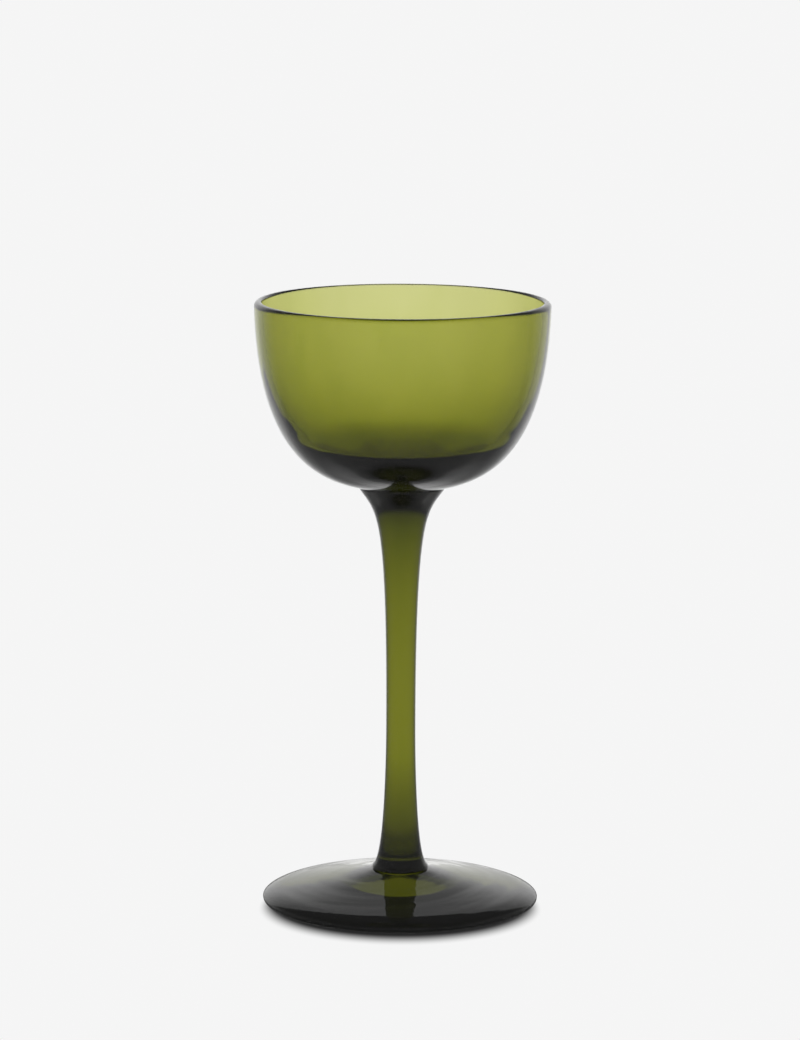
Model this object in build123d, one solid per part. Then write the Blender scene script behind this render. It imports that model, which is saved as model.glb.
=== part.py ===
from build123d import *
import os
from math import cos, radians, sin, tan

# A cordial glass in millimetres. +Z is up, and the origin is the middle of the foot's standing plane.

# Foot
foot_d = 61.7          # across the foot
foot_h = 7.2           # table to the flat seat in the middle
edge_h = 0.95          # table to the foot's widest line
edge_under = 0.9       # how far the round edge turns in below the widest line
shoulder_in = 4.35     # how far inside the widest line the edge's rounding ends
shoulder_h = 2.98      # height there
shoulder_lean = 11.4   # degrees from level there
shoulder_run = 1.75    # length over which the rounding holds that slope
top_hold = 6.0         # length over which the cone holds that slope, going up
seat_run = 6.0         # length over which the cone holds its slope at the seat
seat_lean = 16.5       # degrees from level at the seat
seat_margin = 0.4      # flat left round the stem's end
hollow_d = 22.4        # across the hollow in the middle of the underside
hollow_h = 2.9         # its depth
hollow_hold = 2.5      # length over which it keeps level from the middle
hollow_run = 4.0       # length over which it holds its slope at the standing ring
hollow_lean = 13.6     # degrees from level there

# Stem
stem_h = 87.25         # seat to the crease under the bowl
stem_d = 6.55          # at the waist
waist_h = 32.85        # seat to the waist
seat_d = 12.2          # flat end that meets the foot
bead_d = 12.5          # rounded bead above it
bead_h = 0.9           # height of the bead
skirt_d = 12.3         # where the bead runs into the skirt
skirt_start = 21.5     # seat to where the skirt begins to swell
skirt_run = 2.65       # length over which it holds its slope at the bead
skirt_lean = 58.0      # degrees from upright at the bead
flare_start = 3.5      # below the crease, where the straight stem points to
flare_run = 7.5        # length over which the flare holds its slope at the crease
flare_lean = 33.0      # degrees from upright at the crease

# Bowl
crease_d = 19.8        # where the flare meets the bowl
crease_slope = 14.0    # degrees from level, bowl's underside at the crease
bowl_h = 41.3          # crease to the top of the rim
rim_d = 65.7           # across the mouth, outside
rim_lean = 1.5         # degrees from upright, the wall just below the rim
rim_wall = 1.75        # glass at the rim
rim_crown = 1.2        # how far inside the mouth's outer line the rim is highest
rim_round = 1.1        # height over which the rim is rounded outside
rim_lip = 0.6          # height over which it is rounded inside
inside_hold = 7.5      # length over which the inside keeps that lean below the rim
base_thick = 9.0       # glass in the middle of the base
turn_out = 6.2         # length over which the outside holds its slope at the crease
wall_hold = 36.4       # length over which the outside keeps the rim's lean
heel_in = 7.85         # how far inside the rim's outer edge the wall turns into the floor
heel_h = 6.75          # floor to there
heel_lean = 32.5       # degrees from upright there
heel_hold = 9.1        # length over which the wall holds that slope, going up
floor_hold = 19.4      # length over which the inside keeps level from the middle

seat_z = foot_h
crease_z = seat_z + stem_h
crease_r = crease_d / 2
# The weld is a shallow round cap that carries on the bowl's slope to the middle.
cap_z = crease_z - crease_r * tan(radians(crease_slope) / 2)
cap_radius = crease_r / sin(radians(crease_slope))
cap_mid_r = cap_radius * sin(radians(crease_slope) / 2)
cap_mid_z = cap_z + cap_radius * (1 - cos(radians(crease_slope) / 2))


def turned(*edges):
    """Spins a closed outline, drawn in X and Z, into a solid about the Z axis."""
    return revolve(make_face(Wire(list(edges))), Axis.Z)


def weld_cap():
    """The line where bowl and stem meet, from the middle out to the crease."""
    return ThreePointArc((0, 0, cap_z), (cap_mid_r, 0, cap_mid_z), (crease_r, 0, crease_z))


def make_foot():
    """A low cone with a round edge, a flat seat on top and a hollow in the middle of the underside."""
    foot_r = foot_d / 2
    ring_r = foot_r - edge_under
    shoulder_r = foot_r - shoulder_in
    seat_r = seat_d / 2 + seat_margin
    hollow_r = hollow_d / 2
    lean = radians(shoulder_lean)
    rise = radians(seat_lean)
    dip = radians(hollow_lean)
    hollow = Bezier(
        (0, 0, hollow_h),
        (hollow_hold, 0, hollow_h),
        (hollow_r - hollow_run * cos(dip), 0, hollow_run * sin(dip)),
        (hollow_r, 0, 0),
    )
    ring = Line((hollow_r, 0, 0), (ring_r, 0, 0))
    under_edge = Bezier(
        (ring_r, 0, 0),
        (ring_r + edge_under * 0.55, 0, 0),
        (foot_r, 0, edge_h * 0.45),
        (foot_r, 0, edge_h),
    )
    upper_edge = Bezier(
        (foot_r, 0, edge_h),
        (foot_r, 0, edge_h + (shoulder_h - edge_h) * 0.35),
        (shoulder_r + shoulder_run * cos(lean), 0, shoulder_h - shoulder_run * sin(lean)),
        (shoulder_r, 0, shoulder_h),
    )
    top = Bezier(
        (shoulder_r, 0, shoulder_h),
        (shoulder_r - top_hold * cos(lean), 0, shoulder_h + top_hold * sin(lean)),
        (seat_r + seat_run * cos(rise), 0, seat_z - seat_run * sin(rise)),
        (seat_r, 0, seat_z),
    )
    seat = Line((seat_r, 0, seat_z), (0, 0, seat_z))
    middle = Line((0, 0, seat_z), (0, 0, hollow_h))
    return turned(hollow, ring, under_edge, upper_edge, top, seat, middle)


def make_stem():
    """A solid drawn rod: flat end, bead, skirt, waist, and the flare that cups the bowl."""
    waist_r = stem_d / 2
    waist_z = seat_z + waist_h
    seat_r = seat_d / 2
    skirt_r = skirt_d / 2
    skirt_z = seat_z + bead_h
    skirt_a = radians(skirt_lean)
    flare_a = radians(flare_lean)
    end = Line((0, 0, seat_z), (seat_r, 0, seat_z))
    bead = ThreePointArc(
        (seat_r, 0, seat_z), (bead_d / 2, 0, seat_z + bead_h / 2), (skirt_r, 0, skirt_z)
    )
    skirt = Bezier(
        (skirt_r, 0, skirt_z),
        (skirt_r - skirt_run * sin(skirt_a), 0, skirt_z + skirt_run * cos(skirt_a)),
        (waist_r, 0, seat_z + skirt_start),
        (waist_r, 0, waist_z),
    )
    flare = Bezier(
        (waist_r, 0, waist_z),
        (waist_r, 0, crease_z - flare_start),
        (crease_r - flare_run * sin(flare_a), 0, crease_z - flare_run * cos(flare_a)),
        (crease_r, 0, crease_z),
    )
    middle = Line((0, 0, cap_z), (0, 0, seat_z))
    return turned(end, bead, skirt, flare, weld_cap(), middle)


def make_bowl():
    """The blown cup: an even wall under the rounded rim, and a heel where it thickens into the base."""
    rim_r = rim_d / 2
    rim_top = crease_z + bowl_h
    rim_z = rim_top - rim_round
    crown_r = rim_r - rim_crown
    inside_r = rim_r - rim_wall
    lip_z = rim_top - rim_lip
    floor_z = cap_z + base_thick
    slope = radians(crease_slope)
    lean = radians(rim_lean)
    heel_r = rim_r - heel_in
    heel_z = floor_z + heel_h
    heel_a = radians(heel_lean)
    outside = Bezier(
        (crease_r, 0, crease_z),
        (crease_r + turn_out * cos(slope), 0, crease_z + turn_out * sin(slope)),
        (rim_r - wall_hold * sin(lean), 0, rim_z - wall_hold * cos(lean)),
        (rim_r, 0, rim_z),
    )
    rim_outer = Bezier(
        (rim_r, 0, rim_z),
        (rim_r, 0, rim_z + rim_round * 0.55),
        (crown_r + rim_crown * 0.6, 0, rim_top),
        (crown_r, 0, rim_top),
    )
    rim_inner = Bezier(
        (crown_r, 0, rim_top),
        (crown_r - (rim_wall - rim_crown) * 0.7, 0, rim_top),
        (inside_r, 0, lip_z + rim_lip * 0.5),
        (inside_r, 0, lip_z),
    )
    wall = Bezier(
        (inside_r, 0, lip_z),
        (inside_r - inside_hold * sin(lean), 0, lip_z - inside_hold * cos(lean)),
        (heel_r + heel_hold * sin(heel_a), 0, heel_z + heel_hold * cos(heel_a)),
        (heel_r, 0, heel_z),
    )
    floor = Bezier(
        (heel_r, 0, heel_z),
        (heel_r - heel_h * tan(heel_a), 0, floor_z),
        (floor_hold, 0, floor_z),
        (0, 0, floor_z),
    )
    middle = Line((0, 0, floor_z), (0, 0, cap_z))
    return turned(weld_cap(), outside, rim_outer, rim_inner, wall, floor, middle)


os.makedirs("parts", exist_ok=True)
export_step(make_foot(), "parts/foot.step")
export_step(make_stem(), "parts/stem.step")
export_step(make_bowl(), "parts/bowl.step")
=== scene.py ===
import math

import bmesh
import bpy
from mathutils import Matrix, Vector
from mathutils.geometry import interpolate_bezier


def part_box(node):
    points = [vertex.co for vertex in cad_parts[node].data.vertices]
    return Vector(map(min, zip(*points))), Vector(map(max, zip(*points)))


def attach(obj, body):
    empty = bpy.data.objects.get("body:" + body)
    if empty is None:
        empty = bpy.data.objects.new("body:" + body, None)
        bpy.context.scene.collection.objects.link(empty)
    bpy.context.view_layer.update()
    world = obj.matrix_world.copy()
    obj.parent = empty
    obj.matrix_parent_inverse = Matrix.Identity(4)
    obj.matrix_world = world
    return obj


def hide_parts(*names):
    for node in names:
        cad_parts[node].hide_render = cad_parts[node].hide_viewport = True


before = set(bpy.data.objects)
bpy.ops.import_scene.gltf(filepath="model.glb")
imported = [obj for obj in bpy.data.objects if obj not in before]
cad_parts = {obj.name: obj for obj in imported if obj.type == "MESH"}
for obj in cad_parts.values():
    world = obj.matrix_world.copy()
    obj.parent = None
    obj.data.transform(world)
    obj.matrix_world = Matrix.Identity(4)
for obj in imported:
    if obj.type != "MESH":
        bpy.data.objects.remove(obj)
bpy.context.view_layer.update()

# The bowl: blown olive green glass, thin at the rim and thick in its base.
# It is the first gather to be worked, opened out hot, trimmed and fire-polished to a round rim.
MM = 0.001
bowl_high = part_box("bowl")[1]
stem_low, stem_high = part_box("stem")
RIM_R = bowl_high.x
RIM_TOP = bowl_high.z
RIM_LEAN = math.radians(1.5)       # wall just below the rim, from upright
RIM_WALL = 1.75 * MM               # glass at the rim
RIM_CROWN = 1.2 * MM               # from the outer line in to where the rim is highest
RIM_ROUND = 1.1 * MM               # height of the rounding outside
RIM_LIP = 0.6 * MM                 # and inside
RIM_FULLNESS = (0.55, 0.6)         # of the rounding outside, as shares of its height and width
LIP_FULLNESS = (0.5, 0.7)          # and inside
CREASE_R = stem_high.x             # where the stem's flare meets the bowl
CREASE_Z = stem_high.z
CREASE_SLOPE = math.radians(14.0)  # the bowl's underside there, from level
TURN_OUT = 6.2 * MM                # length over which the outside holds that slope
OUTSIDE_HOLD = 36.4 * MM           # length over which the outside keeps the rim's lean
INSIDE_HOLD = 7.5 * MM             # and the inside
BASE_THICK = 9.0 * MM              # glass in the middle of the base
HEEL_IN = 7.85 * MM                # from the rim's outer line in to where the wall turns into the floor
HEEL_H = 6.75 * MM                 # from the floor up to there
HEEL_LEAN = math.radians(32.5)     # the wall there, from upright
HEEL_HOLD = 9.1 * MM               # length over which the wall holds that lean
BOWL_FLOOR_HOLD = 19.4 * MM        # length over which the floor keeps level from the middle

RIM_Z = RIM_TOP - RIM_ROUND
LIP_Z = RIM_TOP - RIM_LIP
CROWN_R = RIM_R - RIM_CROWN
INSIDE_R = RIM_R - RIM_WALL
CAP_Z = CREASE_Z - CREASE_R * math.tan(CREASE_SLOPE / 2)
BOWL_FLOOR_Z = CAP_Z + BASE_THICK
HEEL_R = RIM_R - HEEL_IN
HEEL_Z = BOWL_FLOOR_Z + HEEL_H


def bend(start, leave, arrive, end, points):
    """Points of a smooth run in the outline, both ends counted and its start left off."""
    ends = [Vector((p[0], 0, p[1])) for p in (start, leave, arrive, end)]
    return interpolate_bezier(*ends, points)[1:]


def weld_cap(lift, steps):
    """Points from the middle out along the round cap where the stem cups the bowl."""
    radius = CREASE_R / math.sin(CREASE_SLOPE)
    turns = [CREASE_SLOPE * k / steps for k in range(steps + 1)]
    return [
        Vector((radius * math.sin(a), 0, CAP_Z + lift + radius * (1 - math.cos(a)))) for a in turns
    ]


def turned_glass(name, outline, faces_round, welded):
    """Spins an outline round the axis into one closed, smooth piece, and marks its welded faces."""
    bm = bmesh.new()
    points = [bm.verts.new(p) for p in outline]
    for a, b in zip(points, points[1:]):
        bm.edges.new((a, b))
    bmesh.ops.spin(
        bm,
        geom=bm.verts[:] + bm.edges[:],
        axis=(0, 0, 1),
        cent=(0, 0, 0),
        angle=math.tau,
        steps=faces_round,
        use_merge=True,
    )
    bmesh.ops.remove_doubles(bm, verts=bm.verts[:], dist=1e-7)
    bmesh.ops.recalc_face_normals(bm, faces=bm.faces[:])
    weld = bm.faces.layers.float.new("weld")
    for face in bm.faces:
        face.smooth = True
        face[weld] = 1.0 if welded(face.calc_center_median(), face.normal) else 0.0
    mesh = bpy.data.meshes.new(name)
    bm.to_mesh(mesh)
    bm.free()
    piece = bpy.data.objects.new(name, mesh)
    bpy.context.collection.objects.link(piece)
    return piece


bowl_outline = weld_cap(lift=0.0, steps=12)
bowl_outline += bend(
    (CREASE_R, CREASE_Z),
    (CREASE_R + TURN_OUT * math.cos(CREASE_SLOPE), CREASE_Z + TURN_OUT * math.sin(CREASE_SLOPE)),
    (RIM_R - OUTSIDE_HOLD * math.sin(RIM_LEAN), RIM_Z - OUTSIDE_HOLD * math.cos(RIM_LEAN)),
    (RIM_R, RIM_Z),
    points=72,
)
bowl_outline += bend(
    (RIM_R, RIM_Z),
    (RIM_R, RIM_Z + RIM_FULLNESS[0] * RIM_ROUND),
    (CROWN_R + RIM_FULLNESS[1] * RIM_CROWN, RIM_TOP),
    (CROWN_R, RIM_TOP),
    points=12,
)
bowl_outline += bend(
    (CROWN_R, RIM_TOP),
    (CROWN_R - LIP_FULLNESS[1] * (CROWN_R - INSIDE_R), RIM_TOP),
    (INSIDE_R, LIP_Z + LIP_FULLNESS[0] * RIM_LIP),
    (INSIDE_R, LIP_Z),
    points=12,
)
bowl_outline += bend(
    (INSIDE_R, LIP_Z),
    (INSIDE_R - INSIDE_HOLD * math.sin(RIM_LEAN), LIP_Z - INSIDE_HOLD * math.cos(RIM_LEAN)),
    (HEEL_R + HEEL_HOLD * math.sin(HEEL_LEAN), HEEL_Z + HEEL_HOLD * math.cos(HEEL_LEAN)),
    (HEEL_R, HEEL_Z),
    points=56,
)
bowl_outline += bend(
    (HEEL_R, HEEL_Z),
    (HEEL_R - HEEL_H * math.tan(HEEL_LEAN), BOWL_FLOOR_Z),
    (BOWL_FLOOR_HOLD, BOWL_FLOOR_Z),
    (0, BOWL_FLOOR_Z),
    points=48,
)
# The bowl is welded on the cap, which is all that lies below the crease.
bowl = turned_glass(
    "bowl",
    bowl_outline,
    faces_round=192,
    welded=lambda middle, normal: middle.z < CREASE_Z,
)


def feed(tree, socket, value):
    """Gives a socket another node's output, or a plain number or vector."""
    if isinstance(value, bpy.types.NodeSocket):
        tree.links.new(value, socket)
    else:
        socket.default_value = value


def maths(tree, operation, *values):
    """One sum of numbers."""
    node = tree.nodes.new("ShaderNodeMath")
    node.operation = operation
    for socket, value in zip(node.inputs, values):
        feed(tree, socket, value)
    return node.outputs["Value"]


def vectors(tree, operation, *values):
    """One sum of vectors, or the length of one."""
    node = tree.nodes.new("ShaderNodeVectorMath")
    node.operation = operation
    for socket, value in zip(node.inputs, values):
        feed(tree, socket, value)
    return node.outputs["Value" if operation == "LENGTH" else "Vector"]


def ramp(tree, value, low, high, start, end, kind="SMOOTHSTEP"):
    """A change from start to end while the value goes from low to high, held at both ends."""
    node = tree.nodes.new("ShaderNodeMapRange")
    node.interpolation_type = kind
    for name, number in (("From Min", low), ("From Max", high), ("To Min", start), ("To Max", end)):
        node.inputs[name].default_value = number
    tree.links.new(value, node.inputs["Value"])
    return node.outputs["Result"]


def noise(tree, place, scale, detail):
    """Cloudy change over a place, between 0 and 1."""
    node = tree.nodes.new("ShaderNodeTexNoise")
    node.inputs["Detail"].default_value = detail
    feed(tree, node.inputs["Vector"], place)
    feed(tree, node.inputs["Scale"], scale)
    return node.outputs["Fac"]


def add_sockets(group, side, kind, *names):
    """Gives a node group inputs or outputs of one kind."""
    for name in names:
        group.interface.new_socket(name, in_out=side, socket_type="NodeSocket" + kind)


# Hot working leaves the skin a little wavy and the colour a little streaked, and use dulls the polish.
NOISE_MIDDLE = 0.5
WEAR_SCALE = 60.0
WEAR_PATCHES = (0.45, 0.75)       # cloudiness at which the wear begins and is full
WEAR_ROUGHNESS = 0.015
STREAK_SCALE = 0.6                # of the waves' own scale
STREAKS = (0.4, 0.7)              # cloudiness at which a streak begins and is full
PLAIN_TINT = (1, 1, 1, 1)
STREAK_TINT = (0.93, 0.95, 0.86, 1)

worked = bpy.data.node_groups.new("worked glass", "ShaderNodeTree")
add_sockets(worked, "INPUT", "Vector", "Place", "Stretch")
add_sockets(worked, "INPUT", "Float", "Rings", "Scale", "Depth")
add_sockets(worked, "OUTPUT", "Float", "Height", "Roughness")
add_sockets(worked, "OUTPUT", "Color", "Tint")
worked_in = worked.nodes.new("NodeGroupInput")
worked_out = worked.nodes.new("NodeGroupOutput")
axis_distance = vectors(
    worked, "LENGTH", vectors(worked, "MULTIPLY", worked_in.outputs["Place"], (1, 1, 0))
)
rings = worked.nodes.new("ShaderNodeCombineXYZ")
feed(worked, rings.inputs["X"], maths(worked, "MULTIPLY", axis_distance, worked_in.outputs["Rings"]))
stretched = vectors(worked, "MULTIPLY", worked_in.outputs["Place"], worked_in.outputs["Stretch"])
drawn = vectors(worked, "ADD", stretched, rings.outputs["Vector"])
waves = noise(worked, drawn, worked_in.outputs["Scale"], detail=1.0)
wave = maths(worked, "SUBTRACT", waves, NOISE_MIDDLE)
feed(worked, worked_out.inputs["Height"], maths(worked, "MULTIPLY", wave, worked_in.outputs["Depth"]))
rubbed = noise(worked, worked_in.outputs["Place"], WEAR_SCALE, detail=5.0)
feed(worked, worked_out.inputs["Roughness"], ramp(worked, rubbed, *WEAR_PATCHES, 0.0, WEAR_ROUGHNESS))
streak_scale = maths(worked, "MULTIPLY", worked_in.outputs["Scale"], STREAK_SCALE)
streaked = ramp(worked, noise(worked, drawn, streak_scale, detail=3.0), *STREAKS, 0, 1)
tint = worked.nodes.new("ShaderNodeMix")
tint.data_type = "RGBA"
tint.inputs[6].default_value = PLAIN_TINT
tint.inputs[7].default_value = STREAK_TINT
feed(worked, tint.inputs["Factor"], streaked)
feed(worked, worked_out.inputs["Tint"], tint.outputs[2])

OLIVE = (0.731, 0.743, 0.21, 1)   # what the depth of the glass lets through
GLASS_IOR = 1.5
CLEARNESS = 0.993                 # share of the light that the skin lets in


def olive_glass(name, colour_depth, stretch, rings, scale, depth):
    """Clear glass that takes its olive colour from its depth. Its welded faces don't bend light."""
    glass = bpy.data.materials.new(name)
    glass.use_nodes = True
    tree = glass.node_tree
    surface = tree.nodes["Principled BSDF"]
    place = tree.nodes.new("ShaderNodeTexCoord")
    skin = tree.nodes.new("ShaderNodeGroup")
    skin.node_tree = worked
    skin.inputs["Stretch"].default_value = stretch
    skin.inputs["Rings"].default_value = rings
    skin.inputs["Scale"].default_value = scale
    skin.inputs["Depth"].default_value = depth
    feed(tree, skin.inputs["Place"], place.outputs["Object"])
    feed(tree, surface.inputs["Base Color"], skin.outputs["Tint"])
    bump = tree.nodes.new("ShaderNodeBump")
    bump.inputs["Strength"].default_value = 1.0
    bump.inputs["Distance"].default_value = 1.0
    feed(tree, bump.inputs["Height"], skin.outputs["Height"])
    feed(tree, surface.inputs["Normal"], bump.outputs["Normal"])
    weld = tree.nodes.new("ShaderNodeAttribute")
    weld.attribute_name = "weld"
    bending = maths(tree, "MULTIPLY_ADD", weld.outputs["Fac"], 1 - GLASS_IOR, GLASS_IOR)
    feed(tree, surface.inputs["IOR"], bending)
    bare = maths(tree, "SUBTRACT", 1.0, weld.outputs["Fac"])
    feed(tree, surface.inputs["Roughness"], maths(tree, "MULTIPLY", skin.outputs["Roughness"], bare))
    surface.inputs["Transmission Weight"].default_value = CLEARNESS
    colour = tree.nodes.new("ShaderNodeVolumeAbsorption")
    colour.inputs["Color"].default_value = OLIVE
    colour.inputs["Density"].default_value = colour_depth
    feed(tree, tree.nodes["Material Output"].inputs["Volume"], colour.outputs["Volume"])
    return glass


bowl_glass = olive_glass(
    "bowl glass", colour_depth=950, stretch=(1, 1, 0.35), rings=0, scale=110, depth=0.1 * MM
)
bowl.data.materials.append(bowl_glass)
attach(bowl, "root")
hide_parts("bowl")

# The stem: a solid rod of the same glass, drawn down hot from a bit set under the bowl.
# Its flare cups the bowl, and its lower end swells into a small bead where it meets the foot.
OVERLAP = 0.02 * MM                # how far it reaches into bowl and foot, so that no air is left
SEAT_Z = stem_low.z                # the flat end on the foot
SEAT_R = 6.1 * MM
BEAD_H = 0.9 * MM                  # height of the bead
BEAD_PULL_R = 6.3 * MM             # where the bead's curve is pulled to, for a bead of 6.25 mm
BEAD_PULLS = (0.25, 0.75)          # how high, as shares of the bead's height
SKIRT_R = 6.15 * MM                # where the bead runs into the skirt
SKIRT_LEAN = math.radians(58.0)    # the skirt there, from upright
SKIRT_RUN = 2.65 * MM              # length over which it holds that lean
SKIRT_START = 21.5 * MM            # from the seat up to where the skirt begins to swell
WAIST_R = 3.275 * MM
WAIST_H = 32.85 * MM               # from the seat up to the waist
FLARE_START = 3.5 * MM             # from the crease down to where the straight stem points to
FLARE_LEAN = math.radians(33.0)    # the flare at the crease, from upright
FLARE_RUN = 7.5 * MM               # length over which it holds that lean
UPWARD = 0.9                       # a normal's height, past which a face is on the cap

END_Z = SEAT_Z - OVERLAP
SKIRT_Z = SEAT_Z + BEAD_H
WAIST_Z = SEAT_Z + WAIST_H


def straight(start, end, steps):
    """Points of a straight run in the outline, its start left off."""
    first = Vector((start[0], 0, start[1]))
    last = Vector((end[0], 0, end[1]))
    return [first.lerp(last, k / steps) for k in range(1, steps + 1)]


stem_outline = [Vector((0, 0, END_Z))]
stem_outline += straight((0, END_Z), (SEAT_R, END_Z), steps=8)
stem_outline += bend(
    (SEAT_R, END_Z),
    (BEAD_PULL_R, SEAT_Z + BEAD_PULLS[0] * BEAD_H),
    (BEAD_PULL_R, SEAT_Z + BEAD_PULLS[1] * BEAD_H),
    (SKIRT_R, SKIRT_Z),
    points=14,
)
stem_outline += bend(
    (SKIRT_R, SKIRT_Z),
    (SKIRT_R - SKIRT_RUN * math.sin(SKIRT_LEAN), SKIRT_Z + SKIRT_RUN * math.cos(SKIRT_LEAN)),
    (WAIST_R, SEAT_Z + SKIRT_START),
    (WAIST_R, WAIST_Z),
    points=56,
)
stem_outline += bend(
    (WAIST_R, WAIST_Z),
    (WAIST_R, CREASE_Z - FLARE_START),
    (CREASE_R - FLARE_RUN * math.sin(FLARE_LEAN), CREASE_Z - FLARE_RUN * math.cos(FLARE_LEAN)),
    (CREASE_R, CREASE_Z),
    points=72,
)
stem_outline += weld_cap(lift=OVERLAP, steps=12)[::-1]
# The stem is welded at both ends: the flat end below the seat, and the cap that faces up.
stem = turned_glass(
    "stem",
    stem_outline,
    faces_round=160,
    welded=lambda middle, normal: middle.z < SEAT_Z or normal.z > UPWARD,
)
stem_glass = olive_glass(
    "stem glass", colour_depth=1000, stretch=(1, 1, 0.08), rings=0, scale=500, depth=0.03 * MM
)
stem.data.materials.append(stem_glass)
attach(stem, "root")
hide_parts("stem")

# The foot: a disc of the same glass, cast on hot and pressed out into a low cone with a round edge.
# It stands on a flat ring round a shallow hollow, pressed into the middle of the underside.
foot_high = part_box("foot")[1]
FOOT_R = foot_high.x
EDGE_Z = 0.95 * MM                 # height of the widest line
EDGE_UNDER = 0.9 * MM              # how far the round edge turns in below it
UNDER_FULLNESS = (0.55, 0.45)      # of the rounding below it, as shares of its width and height
UPPER_FULLNESS = 0.35              # and above it, as a share of the height
SHOULDER_IN = 4.35 * MM            # from the widest line in to where the edge's rounding ends
SHOULDER_Z = 2.98 * MM             # height there
SHOULDER_LEAN = math.radians(11.4)  # the slope there, from level
SHOULDER_RUN = 1.75 * MM           # length over which the rounding holds that slope
TOP_HOLD = 6.0 * MM                # and the cone, going up
SEAT_MARGIN = 0.4 * MM             # flat left round the stem's end
SEAT_LEAN = math.radians(16.5)     # the cone's slope at the seat, from level
SEAT_RUN = 6.0 * MM                # length over which it holds that slope
HOLLOW_R = 11.2 * MM
HOLLOW_Z = 2.9 * MM                # depth of the hollow
HOLLOW_HOLD = 2.5 * MM             # length over which it keeps level from the middle
HOLLOW_LEAN = math.radians(13.6)   # its slope at the standing ring, from level
HOLLOW_RUN = 4.0 * MM              # length over which it holds that slope
LEVEL = 0.999                      # a normal's height, past which a face is flat

RING_R = FOOT_R - EDGE_UNDER
SHOULDER_R = FOOT_R - SHOULDER_IN
CONE_R = SEAT_R + SEAT_MARGIN

foot_outline = [Vector((0, 0, HOLLOW_Z))]
foot_outline += bend(
    (0, HOLLOW_Z),
    (HOLLOW_HOLD, HOLLOW_Z),
    (HOLLOW_R - HOLLOW_RUN * math.cos(HOLLOW_LEAN), HOLLOW_RUN * math.sin(HOLLOW_LEAN)),
    (HOLLOW_R, 0),
    points=36,
)
foot_outline += straight((HOLLOW_R, 0), (RING_R, 0), steps=12)
foot_outline += bend(
    (RING_R, 0),
    (RING_R + UNDER_FULLNESS[0] * EDGE_UNDER, 0),
    (FOOT_R, UNDER_FULLNESS[1] * EDGE_Z),
    (FOOT_R, EDGE_Z),
    points=14,
)
foot_outline += bend(
    (FOOT_R, EDGE_Z),
    (FOOT_R, EDGE_Z + UPPER_FULLNESS * (SHOULDER_Z - EDGE_Z)),
    (
        SHOULDER_R + SHOULDER_RUN * math.cos(SHOULDER_LEAN),
        SHOULDER_Z - SHOULDER_RUN * math.sin(SHOULDER_LEAN),
    ),
    (SHOULDER_R, SHOULDER_Z),
    points=28,
)
foot_outline += bend(
    (SHOULDER_R, SHOULDER_Z),
    (SHOULDER_R - TOP_HOLD * math.cos(SHOULDER_LEAN), SHOULDER_Z + TOP_HOLD * math.sin(SHOULDER_LEAN)),
    (CONE_R + SEAT_RUN * math.cos(SEAT_LEAN), SEAT_Z - SEAT_RUN * math.sin(SEAT_LEAN)),
    (CONE_R, SEAT_Z),
    points=56,
)
foot_outline += straight((CONE_R, SEAT_Z), (SEAT_R, SEAT_Z), steps=1)
foot_outline += straight((SEAT_R, SEAT_Z), (0, SEAT_Z), steps=8)
# The foot is welded on the flat disc under the stem's end.
foot = turned_glass(
    "foot",
    foot_outline,
    faces_round=192,
    welded=lambda middle, normal: normal.z > LEVEL and middle.xy.length < SEAT_R,
)
foot_glass = olive_glass(
    "foot glass", colour_depth=1000, stretch=(0.2, 0.2, 1), rings=1, scale=260, depth=0.16 * MM
)
foot.data.materials.append(foot_glass)
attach(foot, "root")
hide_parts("foot")

# The floor: plain white paper, a hair under the foot, with a painted soft shade forward of the foot,
# set by place.
# In the glass it glows with painted light, bright behind and dim all round, as in a room with one lit
# white wall, so that the edges of the glass stay clear.
GROUND_WHITE = 0.915
FLOOR_R = 12.0
FLOOR_DROP = 0.1 * MM
DIM = 0.25                         # brightness of the room away from the wall
WALL_SIDES = (0.5, 1)              # how far a way has to turn to the wall to be lit, and fully lit
FRONT_GLOW = 0.55                  # extra light opposite the wall, seen through the glass
FRONT_SIDES = (-1, -0.5)           # how far a way turns to the wall where it is full, and where it ends
SIDE_GLOW = 0.35                   # extra light beside the wall, seen through the glass
SIDE_WIDTH = (0, 0.4)              # the same two turns for it, to the wall or away
WALL_RISE = (5 * MM, 130 * MM)     # from the axis, where the floor begins to be lit and is fully lit
LANE_X = 4 * MM                    # middle of the lane behind the glass that its mirrors show lit, with painted dimming beside it
LANE_SIDES = (10 * MM, 45 * MM)    # from that middle, where it begins to dim and is dim
LANE_ENDS = (100 * MM, 300 * MM)   # from the axis, where the dimming beside it fades and ends
LANE_DIMMING = 0.9
UNDER_WIDTH = (12 * MM, 29 * MM)   # painted shade on the paper under the foot, from the hollow's edge to the foot's
UNDER_HOLLOW = 0.37
UNDER_RING = 0.05
UNDER_EDGE = 30 * MM               # where the paper under the foot ends
SHADE_WIDTH = (31 * MM, 50 * MM)   # the painted shade round the foot, seen in the glass
SHADE_DEPTH = 0.5
STRIP_INNER = (47 * MM, 57 * MM)   # the painted brighter strip that the back of the foot mirrors
STRIP_OUTER = (70 * MM, 120 * MM)
STRIP_ENDS = (0.1, 0.5)            # how far round to the back it begins and is full
STRIP_LIGHT = 0.9
PAINTED_SHADE_SHIFT = 6.4 * MM                   # how far forward the painted shade is shifted
PAINTED_SHADE_EDGE = (29.1 * MM, 30.0 * MM)     # middle of its edge, in front and at the sides
PAINTED_SHADE_SPREAD = (4.8 * MM, 1.75 * MM)    # half the width over which it fades, in front and at the sides
# darkest of the painted shade
PAINTED_SHADE_DARK = 0.02

# Painted light that only the glass shows: brightness by direction, bright towards the wall and dim
# round about.
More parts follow.
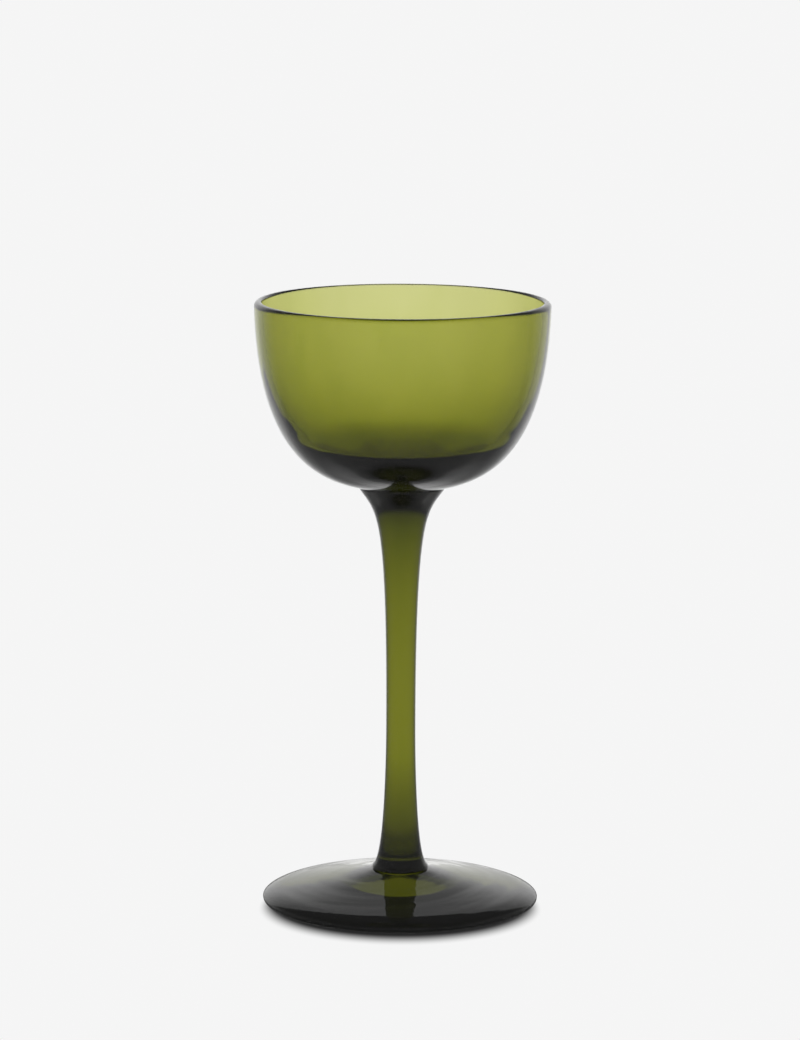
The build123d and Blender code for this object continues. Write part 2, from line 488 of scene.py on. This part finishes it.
lit_wall = bpy.data.node_groups.new("lit wall", "ShaderNodeTree")
add_sockets(lit_wall, "INPUT", "Vector", "Way")
add_sockets(lit_wall, "INPUT", "Float", "Share", "Room")
add_sockets(lit_wall, "OUTPUT", "Float", "Brightness")
wall_in = lit_wall.nodes.new("NodeGroupInput")
wall_out = lit_wall.nodes.new("NodeGroupOutput")
level_way = vectors(lit_wall, "MULTIPLY", wall_in.outputs["Way"], (1, 1, 0))
compass = lit_wall.nodes.new("ShaderNodeSeparateXYZ")
feed(lit_wall, compass.inputs["Vector"], vectors(lit_wall, "NORMALIZE", level_way))
facing = ramp(lit_wall, compass.outputs["Y"], *WALL_SIDES, 0, 1, "LINEAR")
lit = maths(lit_wall, "MULTIPLY", facing, wall_in.outputs["Share"])
front = ramp(lit_wall, compass.outputs["Y"], *FRONT_SIDES, FRONT_GLOW, 0)
beside = ramp(lit_wall, maths(lit_wall, "ABSOLUTE", compass.outputs["Y"]), *SIDE_WIDTH, SIDE_GLOW, 0)
both_glows = maths(lit_wall, "ADD", front, beside)
room = maths(lit_wall, "MULTIPLY_ADD", both_glows, wall_in.outputs["Room"], DIM)
feed(lit_wall, wall_out.inputs["Brightness"], maths(lit_wall, "MULTIPLY_ADD", lit, 1 - DIM, room))


def mix(tree, share, first, second):
    """The first number where the share is 0, the second where it is 1."""
    node = tree.nodes.new("ShaderNodeMix")
    node.data_type = "FLOAT"
    feed(tree, node.inputs["Factor"], share)
    feed(tree, node.inputs["A"], first)
    feed(tree, node.inputs["B"], second)
    return node.outputs["Result"]


bm = bmesh.new()
bmesh.ops.create_circle(
    bm, cap_ends=True, segments=96, radius=FLOOR_R, matrix=Matrix.Translation((0, 0, -FLOOR_DROP))
)
floor_mesh = bpy.data.meshes.new("floor")
bm.to_mesh(floor_mesh)
bm.free()
floor = bpy.data.objects.new("floor", floor_mesh)
bpy.context.collection.objects.link(floor)

paper = bpy.data.materials.new("white paper")
paper.use_nodes = True
paper_tree = paper.node_tree
matt = paper_tree.nodes["Principled BSDF"]
matt.inputs["Base Color"].default_value = (GROUND_WHITE, GROUND_WHITE, GROUND_WHITE, 1)
matt.inputs["Roughness"].default_value = 1.0
matt.inputs["Specular IOR Level"].default_value = 0.0
ray = paper_tree.nodes.new("ShaderNodeLightPath").outputs
place = paper_tree.nodes.new("ShaderNodeTexCoord").outputs["Object"]
spot = paper_tree.nodes.new("ShaderNodeSeparateXYZ")
feed(paper_tree, spot.inputs["Vector"], place)
away = vectors(paper_tree, "LENGTH", place)
mirrored = maths(paper_tree, "SUBTRACT", 1.0, ray["Is Transmission Ray"])

# The floor in the glass: painted light, brighter towards the wall, with a painted lane and strip that
# only mirrors show, and painted shade round and under the foot.
lane_distance = maths(paper_tree, "ABSOLUTE", maths(paper_tree, "SUBTRACT", spot.outputs["X"], LANE_X))
off_lane = ramp(paper_tree, lane_distance, *LANE_SIDES, 0, 1)
dimming = maths(paper_tree, "MULTIPLY", off_lane, ramp(paper_tree, away, *LANE_ENDS, LANE_DIMMING, 0))
lane = maths(paper_tree, "SUBTRACT", 1.0, maths(paper_tree, "MULTIPLY", dimming, mirrored))
rising = ramp(paper_tree, away, *WALL_RISE, 0, 1, "LINEAR")
floor_light = paper_tree.nodes.new("ShaderNodeGroup")
floor_light.node_tree = lit_wall
feed(paper_tree, floor_light.inputs["Way"], place)
feed(paper_tree, floor_light.inputs["Room"], ray["Is Transmission Ray"])
feed(paper_tree, floor_light.inputs["Share"], maths(paper_tree, "MULTIPLY", rising, lane))
rear = ramp(paper_tree, maths(paper_tree, "DIVIDE", spot.outputs["Y"], away), *STRIP_ENDS, 0, 1)
strip_inner = ramp(paper_tree, away, *STRIP_INNER, 0, STRIP_LIGHT)
strip_outer = ramp(paper_tree, away, *STRIP_OUTER, 1, 0)
strip_width = maths(paper_tree, "MULTIPLY", strip_inner, strip_outer)
painted_strip = maths(paper_tree, "MULTIPLY", maths(paper_tree, "MULTIPLY", rear, mirrored), strip_width)
painted_shade_and_strip = maths(paper_tree, "ADD", ramp(paper_tree, away, *SHADE_WIDTH, SHADE_DEPTH, 1), painted_strip)
around = maths(paper_tree, "MULTIPLY", floor_light.outputs["Brightness"], painted_shade_and_strip)
painted_under_shade = ramp(paper_tree, away, *UNDER_WIDTH, UNDER_HOLLOW, UNDER_RING)
in_glass = mix(paper_tree, maths(paper_tree, "GREATER_THAN", away, UNDER_EDGE), painted_under_shade, around)

# The floor as the camera sees it: even white, but for a painted shade forward of the foot, set by place
# on the paper.
shifted_place = vectors(paper_tree, "ADD", place, (0, PAINTED_SHADE_SHIFT, 0))
reach = vectors(paper_tree, "LENGTH", shifted_place)
shifted_spot = paper_tree.nodes.new("ShaderNodeSeparateXYZ")
feed(paper_tree, shifted_spot.inputs["Vector"], shifted_place)
turn = maths(paper_tree, "DIVIDE", shifted_spot.outputs["Y"], reach)
past_edge = maths(paper_tree, "SUBTRACT", reach, ramp(paper_tree, turn, -1, 0, *PAINTED_SHADE_EDGE, "LINEAR"))
fade = maths(paper_tree, "DIVIDE", past_edge, ramp(paper_tree, turn, -1, 0, *PAINTED_SHADE_SPREAD, "LINEAR"))
seen_with_painted_shade = ramp(paper_tree, fade, -1, 1, PAINTED_SHADE_DARK, GROUND_WHITE)

by_glass = maths(paper_tree, "MAXIMUM", ray["Is Glossy Ray"], ray["Is Transmission Ray"])
glow = paper_tree.nodes.new("ShaderNodeEmission")
feed(paper_tree, glow.inputs["Strength"], mix(paper_tree, by_glass, seen_with_painted_shade, in_glass))
looks = paper_tree.nodes.new("ShaderNodeMixShader")
feed(paper_tree, looks.inputs["Fac"], maths(paper_tree, "MAXIMUM", by_glass, ray["Is Camera Ray"]))
feed(paper_tree, looks.inputs[1], matt.outputs["BSDF"])
feed(paper_tree, looks.inputs[2], glow.outputs["Emission"])
feed(paper_tree, paper_tree.nodes["Material Output"].inputs["Surface"], looks.outputs["Shader"])
floor.data.materials.append(paper)

# The sky: plain white light from all round. In the glass it is the lit wall, which fades upwards
# and ends in a straight top edge, and the darker room above and beside it.
WALL_FADE = (math.sin(math.radians(14)), math.sin(math.radians(34)))
WALL_TOP_LIGHT = 0.2
WALL_TOP_SLOPE = math.tan(math.radians(41.5))
WALL_TOP_EDGE = (-0.02, 0)
CEILING = (math.sin(math.radians(40.5)), math.sin(math.radians(42)))
CEILING_DARK = 0.4                 # how much of the light the ceiling loses, seen through the glass
LIT_ROUND = (0.745, 0.765)         # how far a mirrored way turns to the wall, at the edge of its light
MIRROR_DARK = 0.75                 # how much of the light is lost outside that edge
SPARED = 0.2                       # and the share of that loss which is left at the sides and in front
SPARED_SIDES = (0.4, 0.7)          # how far a way turns sideways where the loss eases, and is eased
SPARED_FRONT = (-0.6, -0.2)        # how far it turns to the wall where the loss is eased, and is whole

sky = bpy.data.worlds.new("white sky")
bpy.context.scene.world = sky
sky.use_nodes = True
sky_tree = sky.node_tree
light = sky_tree.nodes["Background"]
light.inputs["Color"].default_value = (1, 1, 1, 1)
sky_ray = sky_tree.nodes.new("ShaderNodeLightPath").outputs
sky_way = sky_tree.nodes.new("ShaderNodeTexCoord").outputs["Generated"]
sky_spot = sky_tree.nodes.new("ShaderNodeSeparateXYZ")
feed(sky_tree, sky_spot.inputs["Vector"], sky_way)
to_side, to_wall, up = (sky_spot.outputs[name] for name in "XYZ")

fading = ramp(sky_tree, up, *WALL_FADE, 1, WALL_TOP_LIGHT)
above_top = maths(sky_tree, "MULTIPLY_ADD", to_wall, -WALL_TOP_SLOPE, up)
below_top = ramp(sky_tree, above_top, *WALL_TOP_EDGE, 1, 0)
sky_light = sky_tree.nodes.new("ShaderNodeGroup")
sky_light.node_tree = lit_wall
feed(sky_tree, sky_light.inputs["Way"], sky_way)
feed(sky_tree, sky_light.inputs["Room"], sky_ray["Is Transmission Ray"])
feed(sky_tree, sky_light.inputs["Share"], maths(sky_tree, "MULTIPLY", fading, below_top))
ceiling = ramp(sky_tree, up, *CEILING, 0, 1)
outside_light = ramp(sky_tree, to_wall, *LIT_ROUND, MIRROR_DARK, 0)
sideways = ramp(sky_tree, maths(sky_tree, "ABSOLUTE", to_side), *SPARED_SIDES, 1, SPARED)
frontward = ramp(sky_tree, to_wall, *SPARED_FRONT, SPARED, 1)
unspared = maths(sky_tree, "MINIMUM", sideways, frontward)
loss = mix(
    sky_tree,
    sky_ray["Is Transmission Ray"],
    maths(sky_tree, "MULTIPLY", outside_light, unspared),
    maths(sky_tree, "MULTIPLY", ceiling, CEILING_DARK),
)
kept = maths(sky_tree, "SUBTRACT", 1.0, loss)
sky_in_glass = maths(sky_tree, "MULTIPLY", sky_light.outputs["Brightness"], kept)
sky_by_glass = maths(
    sky_tree, "MAXIMUM", sky_ray["Is Glossy Ray"], sky_ray["Is Transmission Ray"]
)
sky_strength = mix(sky_tree, sky_by_glass, 1.0, sky_in_glass)
sky_seen = mix(sky_tree, sky_ray["Is Camera Ray"], sky_strength, GROUND_WHITE)
feed(sky_tree, light.inputs["Strength"], sky_seen)

# The camera: it stands about a metre away, looks down on the glass a little and is a hair off level.
# Its lens is measured in pixels of the photograph, which is 800 wide and 1040 high.
CAMERA_PLACE = (-0.38 * MM, -998 * MM, 260 * MM)
LOOK_DOWN = math.radians(9.85)
OFF_LEVEL = math.radians(0.258)
PHOTO_HEIGHT = 1040                # pixels
FOCAL_LENGTH = 4556.2              # in the same pixels
SENSOR_HEIGHT = 36.0               # millimetres

camera = bpy.data.objects.new("camera", bpy.data.cameras.new("camera"))
bpy.context.collection.objects.link(camera)
camera.location = CAMERA_PLACE
tilt = Matrix.Rotation(math.pi / 2 - LOOK_DOWN, 3, "X") @ Matrix.Rotation(OFF_LEVEL, 3, "Z")
camera.rotation_euler = tilt.to_euler()
camera.data.sensor_fit = "VERTICAL"
camera.data.sensor_height = SENSOR_HEIGHT
camera.data.lens = FOCAL_LENGTH / PHOTO_HEIGHT * SENSOR_HEIGHT
camera.data.clip_end = 100.0
bpy.context.scene.camera = camera
bpy.context.scene.view_settings.view_transform = "Standard"
